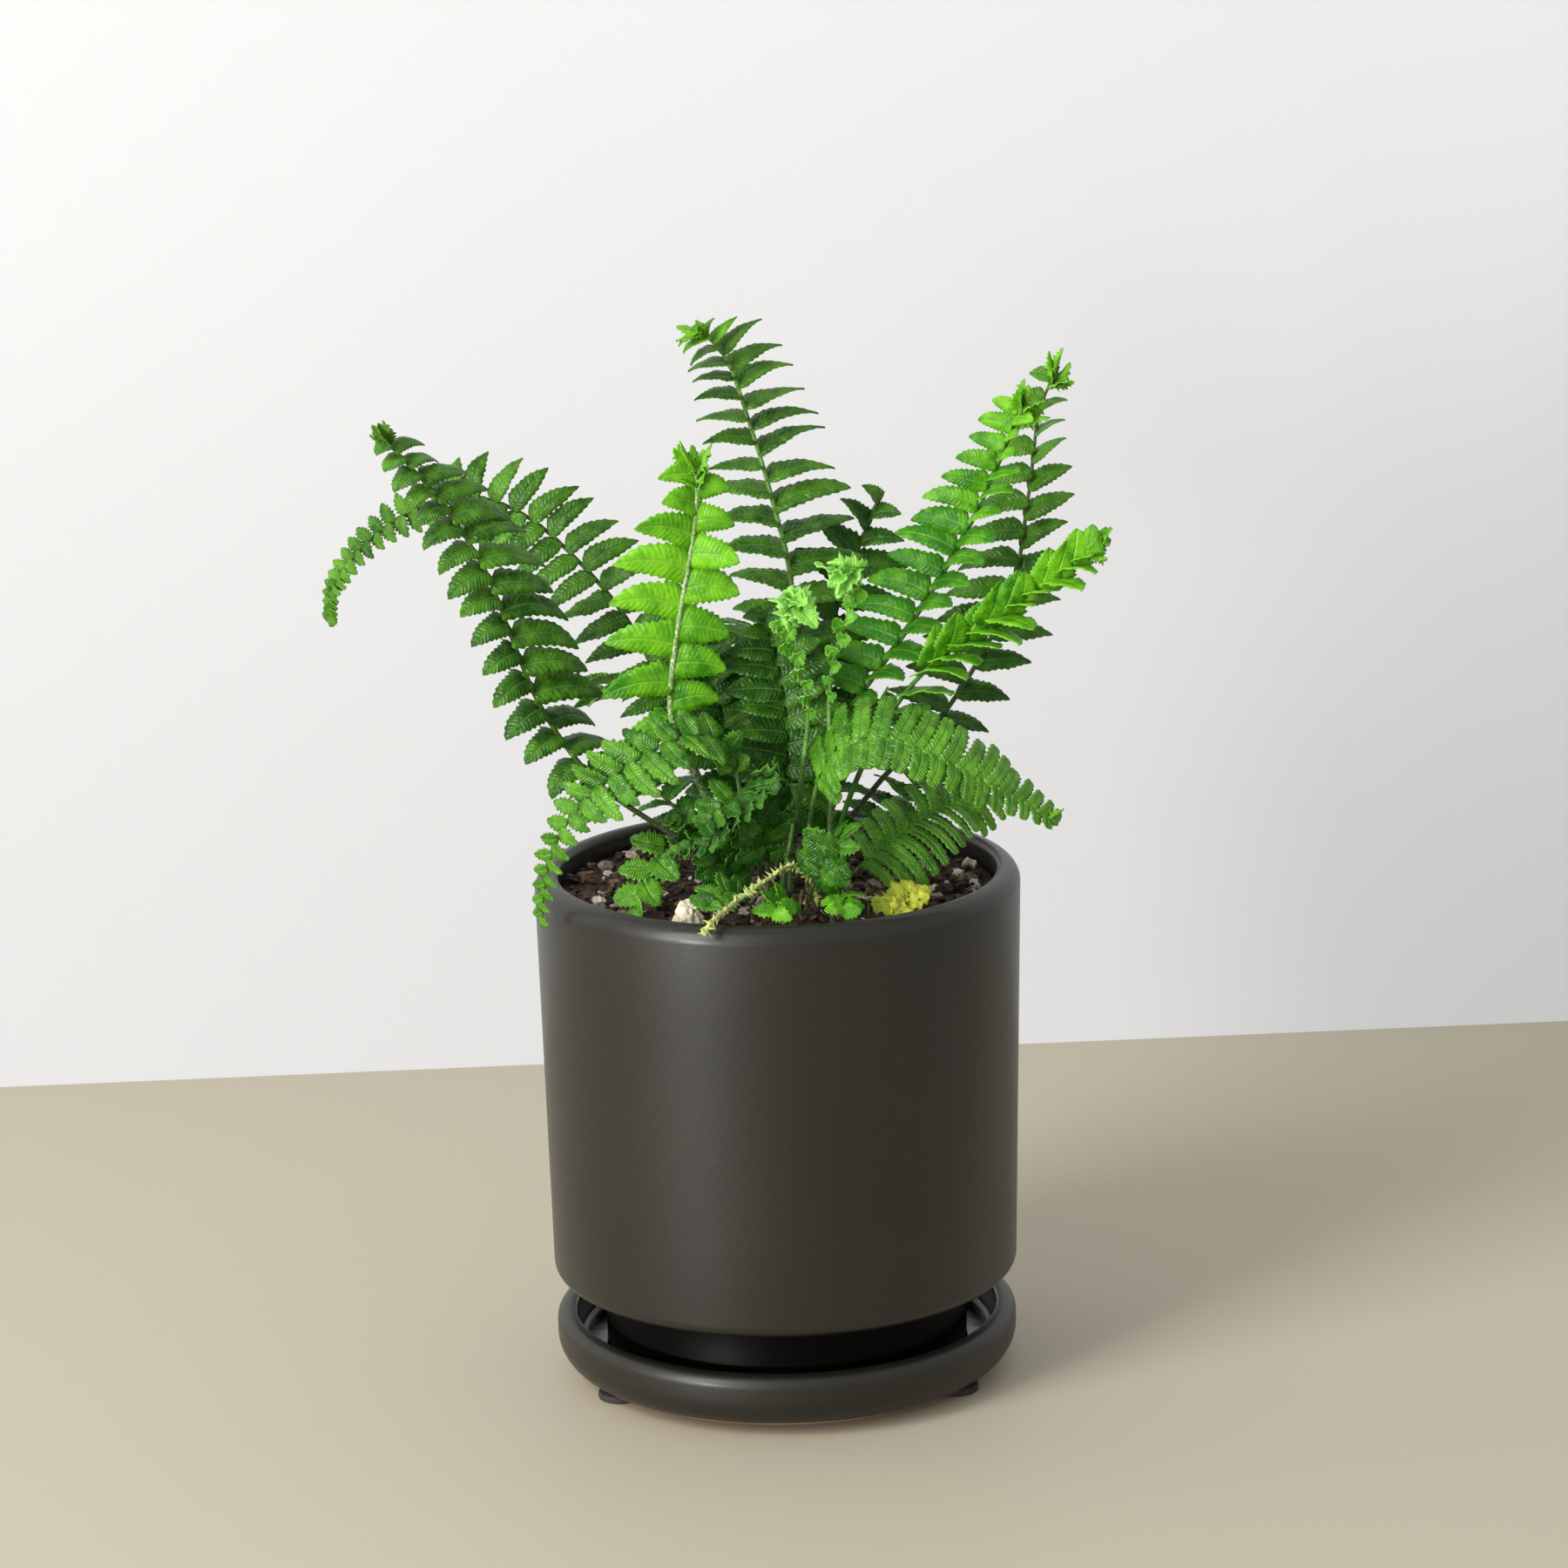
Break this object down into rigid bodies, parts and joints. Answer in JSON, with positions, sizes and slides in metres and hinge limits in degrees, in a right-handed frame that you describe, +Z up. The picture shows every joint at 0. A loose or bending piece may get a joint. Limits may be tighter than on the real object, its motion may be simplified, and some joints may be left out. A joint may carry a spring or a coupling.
{
  "type": "potted jester's crown fern",
  "caption": "Bushy fern with toothed leaflets on arching fronds, in a matte black cylinder pot that stands in its own saucer.",
  "frame": {"origin": "on the surface that the saucer's pads stand on, under the middle of the whole part's bounding box; the pot's axis is 14.1 mm along +X and 2.9 mm along -Y from it", "axes": "+Z up along the pot's axis, -Y towards the front of the picture, +X to the picture's right"},
  "size_m": [0.1866, 0.1263, 0.2542],
  "materials": {
    "glaze": "satin",
    "saucer_glaze": "satin",
    "rubber": "matte",
    "mix": "matte",
    "stone": "matte",
    "runner": "matte",
    "frond_dark": "satin",
    "frond_mid": "satin",
    "frond_bright": "satin",
    "frond_blue": "satin",
    "frond_lime": "satin",
    "frond_yellow": "matte"
  },
  "bodies": {
    "root": {"pot": "glaze", "saucer": "saucer_glaze", "pad_1": "rubber", "pad_2": "rubber", "pad_3": "rubber", "potting_mix": "mix", "pale_stone": "stone", "runner": "runner", "frond_bright_front": "frond_bright", "frond_tall_centre": "frond_dark", "frond_left_tall": "frond_dark", "frond_right_middle": "frond_bright", "frond_right_low": "frond_bright", "frond_right_front": "frond_mid", "frond_right_back": "frond_dark", "frond_left_front": "frond_mid", "frond_right_hanging": "frond_mid", "frond_left_arching": "frond_dark", "frond_front_small": "frond_mid", "frond_edge_on": "frond_blue", "frond_behind_centre": "frond_dark", "crozier_left": "frond_lime", "crozier_right": "frond_lime", "frond_inner_left": "frond_dark", "frond_inner_right": "frond_mid", "frond_inner_centre": "frond_dark", "frond_inner_front": "frond_mid", "frond_inner_side": "frond_mid", "frond_inner_low": "frond_mid", "frond_back_centre": "frond_dark", "frond_back_left": "frond_dark", "frond_back_right": "frond_dark", "frond_low_left": "frond_mid", "frond_low_right": "frond_mid", "sprig_left": "frond_mid", "sprig_front": "frond_bright", "sprig_right": "frond_bright", "frond_yellow": "frond_yellow"}
  },
  "joints": []
}
